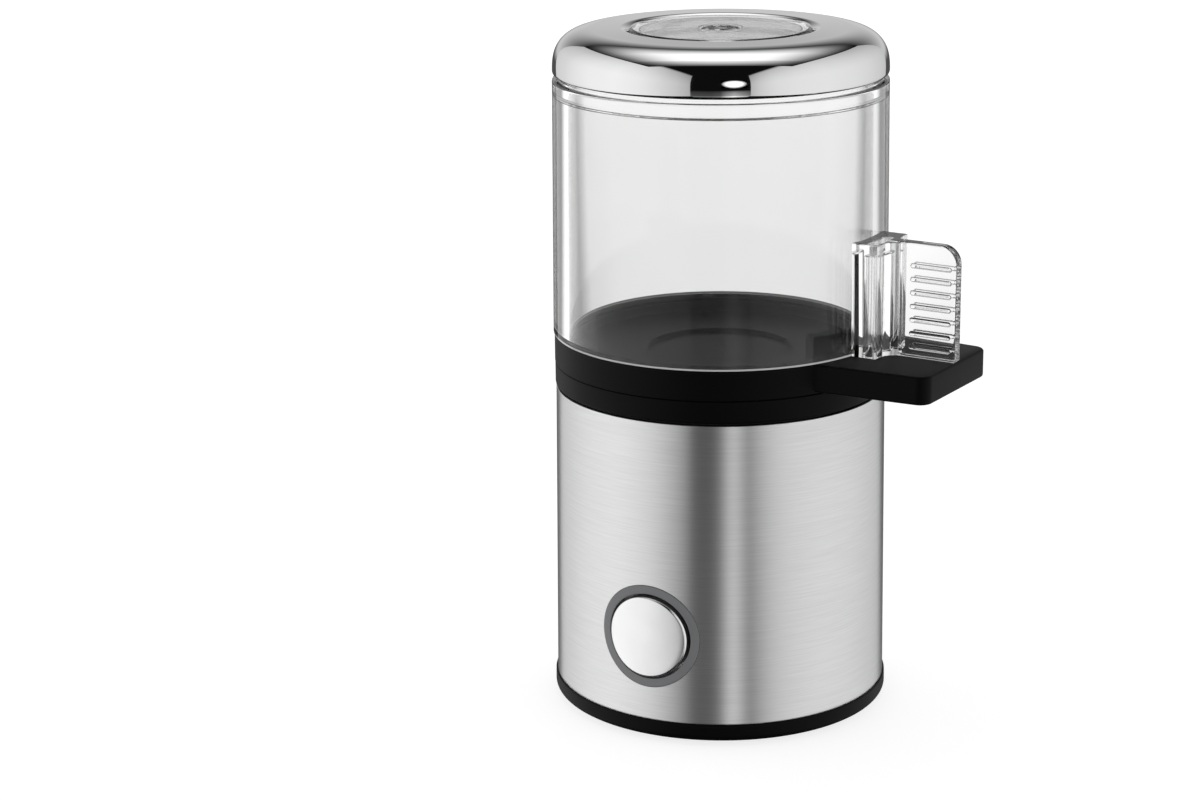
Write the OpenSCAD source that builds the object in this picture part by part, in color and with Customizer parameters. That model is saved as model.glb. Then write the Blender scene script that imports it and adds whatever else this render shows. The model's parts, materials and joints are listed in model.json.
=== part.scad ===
// Single-egg cooker: a round steel base with a button, a heated dish, a carrier ring with a
// side tab, and a clear hood with a bright ring on top. Millimetres, +Z up.
// The origin is on the table, on the axis of the body. The button faces -Y.

/* [Base] */
// Radius of the steel sleeve at its lower end
sleeve_r_low = 33.0; // [32.8:0.05:33.0]
// Radius of the steel sleeve at its upper end
sleeve_r_high = 32.5; // [32.4:0.05:32.6]
// Wall of the steel sleeve
sleeve_wall = 0.6; // [0.4:0.1:0.6]
// Largest radius of the base pan's lip
pan_r = 33.4; // [33.3:0.05:33.6]
// How far the rubber feet stand below the base pan
foot_drop = 0.8; // [0.6:0.1:1.0]
// Height of the seam between the base and the carrier ring, above the pan
seam_h = 68.3; // [68.3:0.1:70]

/* [Button] */
// Height of the button's centre above the pan
button_h = 20.5; // [20:0.1:22]
// Radius of the button's cap
button_r = 8.1; // [7.9:0.05:8.2]
// Outer radius of the light ring round the button
light_r = 10.3; // [10.1:0.05:10.35]
// How far the button stands proud of the sleeve
button_proud = 0.8; // [0.5:0.1:1.0]
// Travel of the button
button_travel = 1.0; // [0.5:0.1:1.0]

/* [Carrier] */
// Outer radius of the carrier ring
carrier_r = 32.7; // [32.5:0.05:32.9]
// Height of the carrier ring
carrier_h = 5.75; // [5.7:0.05:6.0]
// Turn of the tab and the grip away from +X, in degrees
grip_turn = -5; // [-15:1:5]
// Reach of the tab from the axis
tab_reach = 51.6; // [48:0.1:54]
// Width of the tab at its outer end
tab_end_w = 26.8; // [24:0.2:28]
// Width of the tab where it leaves the ring
tab_root_w = 30.2; // [28:0.2:32]
// Thickness of the tab
tab_t = 5.5; // [4.5:0.1:5.7]

/* [Hood] */
// Radius of the hood tube at its foot
tube_r_low = 32.9; // [32.8:0.05:33.0]
// Radius of the hood tube at its top
tube_r_high = 32.52; // [32.5:0.02:32.6]
// Wall of the hood tube
tube_wall = 3.0; // [2.8:0.1:3.0]
// Height of the tube
tube_h = 47.2; // [45:0.2:55]
// Height of the grip wing
grip_h = 22.2; // [18:0.2:26]
// Reach of the grip wing from the axis
grip_reach = 51.4; // [48:0.1:54]
// Thickness of the grip wing
grip_t = 2.5; // [2:0.1:3]
// Width of the hollow block between the tube and the wing
block_w = 12.6; // [11:0.2:14]
// Number of finger bars on each side of the wing
bars = 7; // [3:1:7]
// Height of the bright ring
ring_h = 8.8; // [8.6:0.1:10]
// Radius of the opening in the bright ring
ring_open_r = 17.85; // [17.85:0.05:18.2]
// Radius of the steam hole
steam_r = 4.1; // [3:0.1:5]

/* [Hidden] */

$fn = 96;
seat_gap = 0.05;
run_gap = 0.08;
through = 200;

// Levels above the table
pan_z = foot_drop;
pan_floor_z = pan_z + 2.2;
groove_z = pan_z + 2.5;
lip_top_z = pan_z + 3.6;
pan_wall_z = pan_z + 11.2;
sleeve_z = groove_z + 0.1;
seam_z = pan_z + seam_h;
bezel_z = seam_z - 4.85;
sleeve_top_z = bezel_z - seat_gap;
shelf_z = seam_z - 4.2;
seal_h = 0.6;
flange_z = shelf_z + seal_h;
flange_t = 1.2;
dish_floor_z = seam_z + 2.6;
dish_rim_z = seam_z + 4.5;
dish_under_z = dish_floor_z - 1.8;
carrier_z = seam_z + seat_gap;
carrier_top_z = carrier_z + carrier_h;
tube_z = carrier_top_z + seat_gap;
tube_top_z = tube_z + tube_h;
cap_z = tube_top_z + seat_gap;
cap_rim_h = 2.9;
cap_top_z = cap_z + cap_rim_h;
ring_z = cap_top_z + 0.8;
ring_top_z = ring_z + ring_h;
button_z = pan_z + button_h;
cord_z = pan_z + 11.7;

// Radii
groove_r = 33.08;
pan_wall_r = 32.15;
pan_wall_in_r = 30.6;
house_r = 31.7;
house_in_r = 30.1;
bezel_r = 32.65;
bezel_in_r = 31.5;
shelf_in_r = 23.2;
dish_r = 30.4;
dish_in_r = 29.2;
dish_flange_r = 31.3;
egg_seat_r = 14;
carrier_in_r = 30.75;
register_r = 30.55;

// Base fastenings
post_r = 24;
post_angles = [-10, 55, 125, 190];
post_pilot_r = 1.5;
screw_r = 1.42;
screw_clear_r = 1.7;
screw_head_r = 2.8;
foot_r = 4.5;
foot_place_r = 26;
foot_angles = [30, 150, 225, 315];
lug_place_r = 26;
lug_angles = [90, 210, 330];
lug_r = 2.4;

// Heater
element_r = 15;
element_tube_r = 2.8;
element_gap = 50;
pin_r = 1.6;
pin_bottom_z = seam_z - 19;
shield_z = seam_z - 15.1;
shield_t = 0.6;
bracket_z = seam_z - 11.8;
bracket_t = 1.0;
bracket_boss_x = 20.5;
fuse_y = 11.5;
fuse_r = 2.0;
fuse_z = bracket_z + bracket_t + fuse_r + 0.7;

// Button train, measured along Y towards the front
guide_front_y = -25.2;
guide_t = 1.6;
lip_t = 0.8;
lip_y = guide_front_y - lip_t - button_travel - 0.4;
ring_back_y = lip_y - 0.3;
peg_r = 0.65;
peg_place_r = 10.75;
lip_r = 9.6;
cap_face_r = sleeve_r_low - 0.1 + button_proud;
cap_wall = 1.2;
stem_r = 2.4;
stem_tip_y = -22.95;
plunger_r = 1.75;
plunger_back_y = -20.0;
spring_r = 5.0;
spring_wire_r = 0.3;
spring_turns = 4;
board_y = -18;
board_t = 1.6;
board_back_y = board_y + board_t;
standoff_x = 12.5;
standoff_dz = 11.5;
led_r = 9.4;
plug_z = 27;

// Grip, in the turned frame where X runs outwards along the wing
block_reach = 37.5;
block_top_z = tube_z + 22.0;
blend_r = 3.0;
wing_corner_r = 3.6;
bar_pitch = 2.62;
bar_first = 2.1;
bar_from = 42.4;
bar_to = 50.0;
bar_r = 0.5;
bar_rise = 0.3;

// Bright ring shoulder, a superellipse between the skirt and the flat top
shoulder_r = 23.95;
shoulder_power = 2.58;
shoulder_z = ring_top_z - 8;
ring_skirt_r = 32.48;
ring_wall = 1.0;
ring_lip_r = 1.5;

function at(r, a) = [r * cos(a), r * sin(a)];

// Direction of a cold pin of the heater, one on each side of the gap in its ring
function pin_angle(s) = -90 + s * (element_gap / 2 + 8);

// Points on an arc from angle a0 to a1
function arc(c, r, a0, a1, steps = 8) =
    [for (i = [0 : steps]) c + at(r, a0 + (a1 - a0) * i / steps)];

// Points on the shoulder of the bright ring, inset by d, from the skirt to the flat top
function shoulder(d, steps = 18) =
    [for (i = [0 : steps]) let (t = 90 - 90 * i / steps)
        [shoulder_r + (ring_skirt_r - d - shoulder_r) * pow(sin(t), 2 / shoulder_power),
         shoulder_z + (ring_top_z - 0.15 - d - shoulder_z) * pow(cos(t), 2 / shoulder_power)]];

// Smooth route through hand-picked points, by Catmull-Rom
function blend_point(p0, p1, p2, p3, t) =
    0.5 * (2 * p1 + (p2 - p0) * t + (2 * p0 - 5 * p1 + 4 * p2 - p3) * t * t
        + (3 * p1 - p0 - 3 * p2 + p3) * t * t * t);
function route(pts, steps = 5) =
    let (last = len(pts) - 1)
    [for (i = [0 : last - 1]) for (s = [0 : steps - (i == last - 1 ? 0 : 1)])
        blend_point(pts[max(i - 1, 0)], pts[i], pts[i + 1], pts[min(i + 2, last)], s / steps)];

function unit(v) = v / norm(v);
function side_of(d) = unit(cross(d, abs(d[0]) < 0.8 ? [1, 0, 0] : [0, 1, 0]));

module along_y(y0, y1) {
    translate([0, y1, 0]) rotate([90, 0, 0]) linear_extrude(y1 - y0) children();
}

module rod_y(r, y0, y1, x = 0, z = 0) {
    translate([x, y1, z]) rotate([90, 0, 0]) cylinder(r = r, h = y1 - y0);
}

module rod_z(r, z0, z1, x = 0, y = 0) {
    translate([x, y, z0]) cylinder(r = r, h = z1 - z0);
}

module block(x0, x1, y0, y1, z0, z1) {
    translate([x0, y0, z0]) cube([x1 - x0, y1 - y0, z1 - z0]);
}

module pan_head_screw(shank_r, head_r, head_z, head_h, tip_z) {
    rod_z(head_r, head_z, head_z + head_h);
    rod_z(shank_r, head_z + head_h - 0.01, tip_z);
}

// A wire of radius r swept along a smooth route
module wire(pts, r, sides = 8) {
    path = route(pts);
    last = len(path) - 1;
    ends = [for (i = [0 : last]) unit(path[min(i + 1, last)] - path[max(i - 1, 0)])];
    rings = [for (i = [0 : last]) for (k = [0 : sides - 1])
        let (a = side_of(ends[i]), b = cross(ends[i], a))
        path[i] + r * (cos(360 * k / sides) * a + sin(360 * k / sides) * b)];
    sidewalls = [for (i = [0 : last - 1]) for (k = [0 : sides - 1])
        let (k2 = (k + 1) % sides, j = i * sides)
        [j + k, j + sides + k, j + sides + k2, j + k2]];
    start = [for (k = [0 : sides - 1]) k];
    finish = [for (k = [sides - 1 : -1 : 0]) last * sides + k];
    polyhedron(points = rings, faces = concat([start], sidewalls, [finish]));
}

// ---- base ----

module pan_profile() {
    polygon(concat(
        [[0, pan_z], [pan_r - 1.4, pan_z]],
        arc([pan_r - 1.4, pan_z + 1.4], 1.4, -75, 0, 6),
        [[pan_r - 0.03, lip_top_z - 0.5]],
        arc([pan_r - 0.2, lip_top_z - 0.17], 0.17, 0, 90, 3),
        [[groove_r, lip_top_z], [groove_r, groove_z], [pan_wall_r, groove_z],
         [pan_wall_r, pan_wall_z], [pan_wall_in_r, pan_wall_z], [pan_wall_in_r, pan_floor_z],
         [0, pan_floor_z]]));
}

module base_pan() {
    color("#161617")
    difference() {
        union() {
            rotate_extrude() pan_profile();
            for (a = post_angles)
                translate(at(post_r, a)) rod_z(4, pan_z + 1, pan_wall_z + 0.2);
            block(-9.4, 9.4, 21.5, 26.5, pan_z + 1, cord_z - 0.1);
        }
        for (a = post_angles) {
            translate(at(post_r, a)) rod_z(3.1, pan_z - 1, pan_z + 4.2);
            translate(at(post_r, a)) rod_z(screw_clear_r, pan_z, pan_wall_z + 1);
        }
        for (a = foot_angles)
            translate(at(foot_place_r, a)) rod_z(foot_r + 0.15, pan_z - 1, pan_z + 0.7);
        rod_y(3.1, 21, 27, z = cord_z);
        for (x = [-6.6, 6.6])
            rod_z(1.25, cord_z - 7, cord_z + 1, x, 24);
        rod_y(5.3, 27, 40, z = cord_z);
        rod_y(11.9, -40, -26, z = button_z);
    }
}

module feet() {
    color("#2b2b2d")
    for (a = foot_angles)
        translate(at(foot_place_r, a)) {
            rod_z(foot_r - 0.4, 0, 0.41);
            rod_z(foot_r, 0.4, pan_z + 0.65);
        }
}

module base_screws() {
    color("#b9bbbd")
    for (a = post_angles)
        translate(at(post_r, a))
            difference() {
                pan_head_screw(screw_r, screw_head_r, pan_z + 2.2, 1.95, pan_z + 19);
                rod_z(1.1, pan_z + 1, pan_z + 3.2);
            }
}

module sleeve_cone(shrink, z0, z1) {
    slope = (sleeve_r_high - sleeve_r_low) / (sleeve_top_z - sleeve_z);
    translate([0, 0, z0])
        cylinder(r1 = sleeve_r_low + slope * (z0 - sleeve_z) - shrink,
            r2 = sleeve_r_low + slope * (z1 - sleeve_z) - shrink, h = z1 - z0, $fn = 180);
}

module steel_sleeve() {
    color("#c9cacc")
    difference() {
        sleeve_cone(0, sleeve_z, sleeve_top_z);
        sleeve_cone(sleeve_wall, sleeve_z - 1, sleeve_top_z + 1);
        rod_y(light_r + 0.05, -through, 0, z = button_z);
        rod_y(5.25, 0, through, z = cord_z);
    }
}

module housing_profile() {
    polygon(concat(
        [[house_in_r, pan_wall_z + 0.4], [house_r, pan_wall_z + 0.4], [house_r, bezel_z]],
        arc([bezel_r - 0.6, bezel_z + 0.9], 0.6, -70, 0, 5),
        [[bezel_r, seam_z - 0.2], [bezel_r - 0.2, seam_z], [bezel_in_r, seam_z],
         [bezel_in_r, shelf_z], [shelf_in_r, shelf_z], [shelf_in_r, shelf_z - 2.4],
         [house_in_r, shelf_z - 2.4]]));
}

module inner_housing() {
    post_z = pan_wall_z + 0.45;
    color("#19191a")
    difference() {
        union() {
            rotate_extrude() housing_profile();
            for (a = post_angles) {
                translate(at(post_r, a)) rod_z(3.6, post_z, post_z + 14);
                rotate(a) block(post_r + 2.5, house_in_r + 0.5, -1.2, 1.2, post_z + 0.6, post_z + 13);
            }
            intersection() {
                rod_z(house_in_r + 0.5, post_z, button_z + 15);
                for (s = [-1, 1]) {
                    block(min(s * 12.6, s * 20), max(s * 12.6, s * 20), -26.6,
                        guide_front_y - 0.15, post_z, button_z + 15);
                    block(min(s * 15.2, s * 20), max(s * 15.2, s * 20),
                        guide_front_y + guide_t + 0.15, -22.2, post_z, button_z + 15);
                }
            }
            for (a = [45, 135, 225, 315])
                rotate(a) block(28.2, house_in_r + 0.5, -2, 2, shield_z - 4, shield_z - 0.05);
        }
        for (a = post_angles)
            translate(at(post_r, a)) rod_z(post_pilot_r, post_z - 1, pan_z + 21);
        for (a = lug_angles)
            translate(at(lug_place_r, a)) rod_z(screw_clear_r, shelf_z - 4, shelf_z + 1);
        rod_y(light_r + 0.15, -through, -15, z = button_z);
        rod_y(11.75, -29, -15, z = button_z);
        rod_y(5.25, 25, through, z = cord_z);
    }
}

module dish_profile() {
    polygon(concat(
        [[0, dish_under_z], [dish_in_r - 0.1, dish_under_z], [dish_in_r - 0.1, flange_z],
         [dish_flange_r, flange_z], [dish_flange_r, flange_z + flange_t],
         [dish_r, flange_z + flange_t]],
        arc([dish_r - 0.4, dish_rim_z - 0.4], 0.4, 0, 90, 4),
        arc([dish_in_r + 0.3, dish_rim_z - 0.3], 0.3, 90, 180, 4),
        arc([dish_in_r - 0.8, dish_floor_z + 0.8], 0.8, 0, -90, 4),
        [[egg_seat_r + 0.3, dish_floor_z], [egg_seat_r - 0.3, dish_floor_z - 0.7],
         [0, dish_floor_z - 0.7]]));
}

module heating_dish() {
    boss_bottom_z = bracket_z + bracket_t + 0.05;
    color("#2a2b2d")
    difference() {
        union() {
            rotate_extrude() dish_profile();
            for (a = lug_angles)
                translate(at(lug_place_r, a)) rod_z(lug_r, shelf_z + 0.05, dish_under_z + 0.5);
            for (s = [-1, 1])
                rod_z(lug_r, boss_bottom_z, dish_under_z + 0.5, s * bracket_boss_x);
        }
        for (a = lug_angles)
            translate(at(lug_place_r, a)) rod_z(post_pilot_r, shelf_z - 1, dish_under_z - 0.8);
        for (s = [-1, 1])
            rod_z(post_pilot_r, boss_bottom_z - 1, dish_under_z - 2, s * bracket_boss_x);
    }
}

module dish_seal() {
    color("#8d3b2f")
    rotate_extrude() {
        translate([bezel_in_r - 1.3, shelf_z]) square([1.1, seal_h]);
    }
}

module dish_screws() {
    color("#b9bbbd")
    for (a = lug_angles)
        translate(at(lug_place_r, a))
            pan_head_screw(screw_r, 2.6, shelf_z - 4.5, 2.05, shelf_z + 3.2);
}

module heater_element() {
    centre_z = dish_under_z - element_tube_r - 0.05;
    color("#6f6a63")
    union() {
        translate([0, 0, centre_z]) rotate(-90 + element_gap / 2)
            rotate_extrude(angle = 360 - element_gap) translate([element_r, 0])
                circle(r = element_tube_r, $fn = 48);
        for (s = [-1, 1])
            translate(at(element_r, pin_angle(s))) rod_z(pin_r, pin_bottom_z, centre_z);
    }
}

module thermostat() {
    color("#3c3a37")
    union() {
        rod_z(8, bracket_z + bracket_t + 0.05, dish_under_z - 3);
        rod_z(8.8, dish_under_z - 3.2, dish_under_z - 0.05);
        for (s = [-1, 1])
            block(s > 0 ? 7 : -14, s > 0 ? 14 : -7, -3.15, 3.15, bracket_z + 2.7, bracket_z + 3.5);
    }
}

module thermostat_bracket() {
    color("#a9abad")
    difference() {
        union() {
            block(-23.4, 23.4, -5, 5, bracket_z, bracket_z + bracket_t);
            block(-4, 4, 4.5, 14.5, bracket_z, bracket_z + bracket_t);
        }
        for (s = [-1, 1])
            rod_z(1.6, bracket_z - 1, bracket_z + 2, s * bracket_boss_x);
    }
}

module bracket_screws() {
    color("#b9bbbd")
    for (s = [-1, 1])
        translate([s * bracket_boss_x, 0, 0])
            pan_head_screw(screw_r, 2.6, bracket_z - 2.05, 2, bracket_z + 7);
}

module thermal_fuse() {
    color("#d8d6cf")
    translate([0, fuse_y, fuse_z]) rotate([0, 90, 0])
        union() {
            translate([0, 0, -5]) cylinder(r = fuse_r, h = 10);
            translate([0, 0, -9]) cylinder(r = 0.5, h = 18, $fn = 24);
        }
}

module fuse_clip() {
    color("#a9abad")
    translate([-2, fuse_y, fuse_z]) rotate([0, 90, 0])
        difference() {
            cylinder(r = fuse_r + 0.65, h = 4);
            translate([0, 0, -1]) cylinder(r = fuse_r + 0.05, h = 6);
        }
}

module heat_shield() {
    color("#c4c5c6")
    difference() {
        rod_z(29.4, shield_z, shield_z + shield_t);
        for (s = [-1, 1])
            translate(at(element_r, pin_angle(s))) rod_z(3, shield_z - 1, shield_z + 2);
    }
}

// ---- button train ----

module light_ring() {
    color("#77797b")
    difference() {
        union() {
            intersection() {
                rod_y(light_r, -40, ring_back_y, z = button_z);
                rod_z(sleeve_r_low - 0.05, button_z - 20, button_z + 20, $fn = 180);
            }
            rod_y(11.6, ring_back_y - 1.2, ring_back_y, z = button_z);
            for (a = [0 : 90 : 270])
                rod_y(peg_r, ring_back_y - 0.1, guide_front_y - seat_gap,
                    peg_place_r * cos(a), button_z + peg_place_r * sin(a));
        }
        rod_y(button_r + 0.5, -40, 0, z = button_z);
    }
}

module button_guide() {
    guide_back_y = guide_front_y + guide_t;
    color("#e6e6e2")
    difference() {
        union() {
            block(-15, 15, guide_front_y, guide_back_y, pan_floor_z + 0.1, button_z + 15);
            rod_y(4, guide_front_y - 1.9, guide_back_y, z = button_z);
            for (x = [-standoff_x, standoff_x]) for (s = [-1, 1])
                rod_y(2.4, guide_back_y - 0.1, board_y - seat_gap, x, button_z + s * standoff_dz);
        }
        rod_y(stem_r + run_gap, guide_front_y - 5, guide_back_y + 1, z = button_z);
        for (x = [-standoff_x, standoff_x]) for (s = [-1, 1])
            rod_y(1.15, guide_back_y + 0.6, board_y + 1, x, button_z + s * standoff_dz);
        for (a = [45 : 90 : 315])
            rod_y(1.9, guide_front_y - 1, guide_back_y + 1,
                led_r * cos(a), button_z + led_r * sin(a));
    }
}

module button_cap() {
    front_y = -cap_face_r;
    color("#d4d5d7")
    difference() {
        union() {
            intersection() {
                rod_y(button_r, -40, lip_y + lip_t, z = button_z);
                rod_z(cap_face_r, button_z - 20, button_z + 20, $fn = 180);
            }
            rod_y(lip_r, lip_y, lip_y + lip_t, z = button_z);
        }
        difference() {
            rod_y(button_r - cap_wall, front_y + 2.2, 0, z = button_z);
            rod_y(stem_r, front_y, stem_tip_y, z = button_z);
        }
    }
}

module button_spring() {
    start_y = -cap_face_r + 2.2 + spring_wire_r + 0.05;
    finish_y = guide_front_y - spring_wire_r - 0.05;
    steps = 18;
    sides = 8;
    last = spring_turns * steps;
    ring_points = [for (i = [0 : last]) for (k = [0 : sides - 1])
        let (a = 360 * i / steps, b = 360 * k / sides, r = spring_r + spring_wire_r * cos(b))
        [r * cos(a), start_y + (finish_y - start_y) * i / last + spring_wire_r * sin(b),
         button_z + r * sin(a)]];
    walls = [for (i = [0 : last - 1]) for (k = [0 : sides - 1])
        let (k2 = (k + 1) % sides, j = i * sides)
        [j + k, j + k2, j + sides + k2, j + sides + k]];
    start = [for (k = [sides - 1 : -1 : 0]) k];
    finish = [for (k = [0 : sides - 1]) last * sides + k];
    color("#b9bbbd") polyhedron(points = ring_points, faces = concat([start], walls, [finish]));
}

module tact_switch() {
    color("#242424")
    difference() {
        block(-3.1, 3.1, -21.8, board_y - seat_gap, button_z - 3.1, button_z + 3.1);
        rod_y(plunger_r + 0.06, -23, -18.8, z = button_z);
    }
}

module switch_plunger() {
    color("#c9c5b8")
    rod_y(plunger_r, stem_tip_y + seat_gap, plunger_back_y, z = button_z);
}

module status_leds() {
    color("#f2f2ea")
    for (a = [45 : 90 : 315]) {
        x = led_r * cos(a);
        z = button_z + led_r * sin(a);
        rod_y(1.5, -22.2, board_y - seat_gap, x, z);
        rod_y(1.9, -19.1, board_y - seat_gap, x, z);
    }
}

module circuit_board() {
    color("#1f5b3a")
    difference() {
        block(-17, 17, board_y, board_back_y, pan_floor_z + 1, pan_floor_z + 44);
        for (x = [-standoff_x, standoff_x]) for (s = [-1, 1])
            rod_y(1.5, board_y - 1, board_back_y + 1, x, button_z + s * standoff_dz);
    }
}

module board_screws() {
    color("#b9bbbd")
    for (x = [-standoff_x, standoff_x]) for (s = [-1, 1]) {
        z = button_z + s * standoff_dz;
        rod_y(1.08, board_y - 4, board_back_y + 0.1, x, z);
        rod_y(2.3, board_back_y + 0.05, board_back_y + 1.5, x, z);
    }
}

module relay() {
    color("#2f5fa0")
    block(-16, -2, board_back_y + 0.05, board_back_y + 9.6, 35.4, 43.8);
}

module buzzer() {
    color("#1c1c1c")
    difference() {
        rod_y(5.5, board_back_y + 0.05, board_back_y + 7, -4, button_z - 2);
        rod_y(0.9, board_back_y + 6, board_back_y + 8, -4, button_z - 2);
    }
}

module capacitors() {
    color("#39424f")
    union() {
        rod_y(4, board_back_y + 0.05, board_back_y + 11, 11, 39);
        block(2.2, 6.2, board_back_y + 0.05, board_back_y + 8, 33.5, 43.5);
    }
}

module control_chip() {
    color("#17181a")
    block(4, 14, board_back_y + 0.05, board_back_y + 1.7, button_z - 2.5, button_z + 2.5);
}

module board_plugs() {
    color("#e9e7df")
    union() {
        block(-5.5, 5.5, board_back_y + 0.05, board_back_y + 6.4, pan_floor_z + 2, pan_floor_z + 8);
        for (s = [-1, 1])
            block(s * 13 - 2.5, s * 13 + 2.5, board_back_y + 0.05, board_back_y + 6.4,
                plug_z - 2.5, plug_z + 2.5);
    }
}

module terminal_block() {
    color("#efece2")
    difference() {
        block(-8, 8, 4, 14, pan_floor_z + 0.05, pan_floor_z + 10);
        for (x = [-5, 0, 5]) {
            rod_z(1.85, pan_floor_z + 6, pan_floor_z + 11, x, 9);
            rod_y(1.3, 3, 8, x, pan_floor_z + 4);
            rod_y(1.3, 10, 15, x, pan_floor_z + 4);
        }
    }
}

module terminal_screws() {
    color("#c8b56a")
    for (x = [-5, 0, 5])
        difference() {
            rod_z(1.75, pan_floor_z + 6.05, pan_floor_z + 9.4, x, 9);
            block(x - 2, x + 2, 8.75, 9.25, pan_floor_z + 8.8, pan_floor_z + 10);
        }
}

module supply_wires() {
    plug_y = board_back_y + 6.55;
    z = pan_floor_z + 4;
    color("#5b4a3a")
    for (s = [-1, 1])
        wire([[5 * s, 3.95, z], [5 * s, 2, z], [4 * s, -2, z - 0.5], [2.5 * s, -7, z + 1],
            [2.5 * s, plug_y, z + 1]], 0.9);
}

module heater_wires() {
    plug_y = board_back_y + 6.55;
    p = at(element_r, pin_angle(1));
    z = pin_bottom_z - 0.2;
    color("#c9c3b0")
    for (s = [-1, 1])
        wire([[p[0] * s, p[1], z], [p[0] * s, p[1], z - 1.8], [8 * s, -9, z - 4],
            [9 * s, -4.6, z - 5.6], [11 * s, -2.6, 38], [13 * s, -2.8, 32],
            [13 * s, -5.5, plug_z], [13 * s, plug_y, plug_z]], 0.9);
}

// ---- cord entry, with no cord ----

module cord_gland() {
    color("#1b1b1c")
    difference() {
        union() {
            rod_y(5.1, 27.6, 33.2, z = cord_z);
            rod_y(6.3, 33.1, 34.3, z = cord_z);
        }
        rod_y(3.2, 27, 35, z = cord_z);
    }
}

module cord_clamp() {
    color("#2a2a2c")
    difference() {
        block(-9.4, 9.4, 21.5, 26.5, cord_z + 0.4, cord_z + 5);
        rod_y(3.1, 21, 27, z = cord_z);
        for (x = [-6.6, 6.6])
            rod_z(1.5, cord_z, cord_z + 6, x, 24);
    }
}

module clamp_screws() {
    color("#b9bbbd")
    for (x = [-6.6, 6.6]) {
        rod_z(1.18, cord_z - 6, cord_z + 5.1, x, 24);
        rod_z(2.3, cord_z + 5.05, cord_z + 6.6, x, 24);
    }
}

// ---- carrier ----

module tab_plan() {
    r = 2.6;
    root_w = tab_root_w / 2;
    end_w = tab_end_w / 2;
    polygon([[26, -root_w], [tab_reach - r, -end_w], [tab_reach, -end_w + r],
        [tab_reach, end_w - r], [tab_reach - r, end_w], [26, root_w]]);
    for (s = [-1, 1])
        translate([tab_reach - r, s * (end_w - r)]) circle(r = r);
}

module carrier_ring() {
    color("#1c1c1d")
    difference() {
        union() {
            rotate_extrude()
                polygon([[carrier_in_r, carrier_z], [carrier_r - 0.2, carrier_z],
                    [carrier_r, carrier_z + 0.2], [carrier_r, carrier_top_z - 0.15],
                    [carrier_r - 0.15, carrier_top_z], [carrier_in_r, carrier_top_z]]);
            rotate(grip_turn) translate([0, 0, carrier_top_z - tab_t])
                linear_extrude(tab_t) tab_plan();
        }
        rod_z(carrier_in_r, carrier_z - 1, carrier_top_z + 1);
    }
}

// ---- hood ----

module tube_profile() {
    foot_in_r = tube_r_low - tube_wall;
    polygon([[foot_in_r, tube_z - 0.9], [register_r, tube_z - 0.9], [register_r, tube_z],
        [tube_r_low - 0.25, tube_z], [tube_r_low, tube_z + 0.25], [tube_r_high, tube_top_z],
        [tube_r_high - tube_wall, tube_top_z]]);
}

module grip_plan() {
    block_in = 30.8;
    half = grip_t / 2;
    translate([block_in, -block_w / 2]) square([block_reach - block_in, block_w]);
    for (s = [-1, 1])
        difference() {
            translate([block_reach - 0.1, s > 0 ? 0 : -half - blend_r])
                square([blend_r + 0.1, half + blend_r]);
            translate([block_reach + blend_r, s * (half + blend_r)]) circle(r = blend_r);
        }
}

module wing_outline() {
    top_z = tube_z + grip_h;
    difference() {
        translate([block_reach - 0.5, tube_z]) square([grip_reach - block_reach + 0.5, grip_h]);
        difference() {
            translate([grip_reach - wing_corner_r, top_z - wing_corner_r])
                square([wing_corner_r + 1, wing_corner_r + 1]);
            translate([grip_reach - wing_corner_r, top_z - wing_corner_r])
                circle(r = wing_corner_r);
        }
    }
}

module finger_bar(z) {
    for (x = [bar_from, bar_to])
        rod_y(bar_r, -grip_t / 2 - bar_rise, grip_t / 2 + bar_rise, x, z);
    block(bar_from, bar_to, -grip_t / 2 - bar_rise, grip_t / 2 + bar_rise, z - bar_r, z + bar_r);
}

module grip() {
    difference() {
        union() {
            translate([0, 0, tube_z]) linear_extrude(block_top_z - tube_z) grip_plan();
            along_y(-grip_t / 2, grip_t / 2) wing_outline();
            for (i = [0 : bars - 1])
                finger_bar(tube_z + bar_first + i * bar_pitch);
        }
        for (y = [-3, 3])
            rod_z(1.2, tube_z - 1, block_top_z - 2.4, 35, y);
        block(33.8, 36.2, -3, 3, tube_z - 1, block_top_z - 2.4);
    }
}

module hood_tube() {
    color("#e4e8ea", 0.35)
    union() {
        rotate_extrude($fn = 180) tube_profile();
        rotate(grip_turn) grip();
    }
}

module hood_cap() {
    hat_r = ring_open_r - 0.35;
    hat_in_r = hat_r - 1.8;
    hat_top_z = ring_top_z - 0.1;
    rim_in_r = tube_r_high - tube_wall;
    neck_r = 31.4;
    neck_top_z = cap_top_z + 2.9;
    roof_z = neck_top_z - 1.8;
    color("#e4e8ea", 0.35)
    rotate_extrude($fn = 180)
        polygon(concat(
            [[rim_in_r, cap_z], [tube_r_high, cap_z], [tube_r_high, cap_top_z - 0.5]],
            arc([tube_r_high - 0.5, cap_top_z - 0.5], 0.5, 0, 90, 4),
            [[neck_r, cap_top_z], [neck_r, neck_top_z - 0.8], [neck_r - 0.6, neck_top_z],
             [hat_r, neck_top_z]],
            arc([hat_r - 0.8, hat_top_z - 0.8], 0.8, 0, 90, 4),
            [[steam_r, hat_top_z], [steam_r, hat_top_z - 2.2], [hat_in_r, hat_top_z - 2.2],
             [hat_in_r, roof_z], [rim_in_r, roof_z]]));
}
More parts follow.
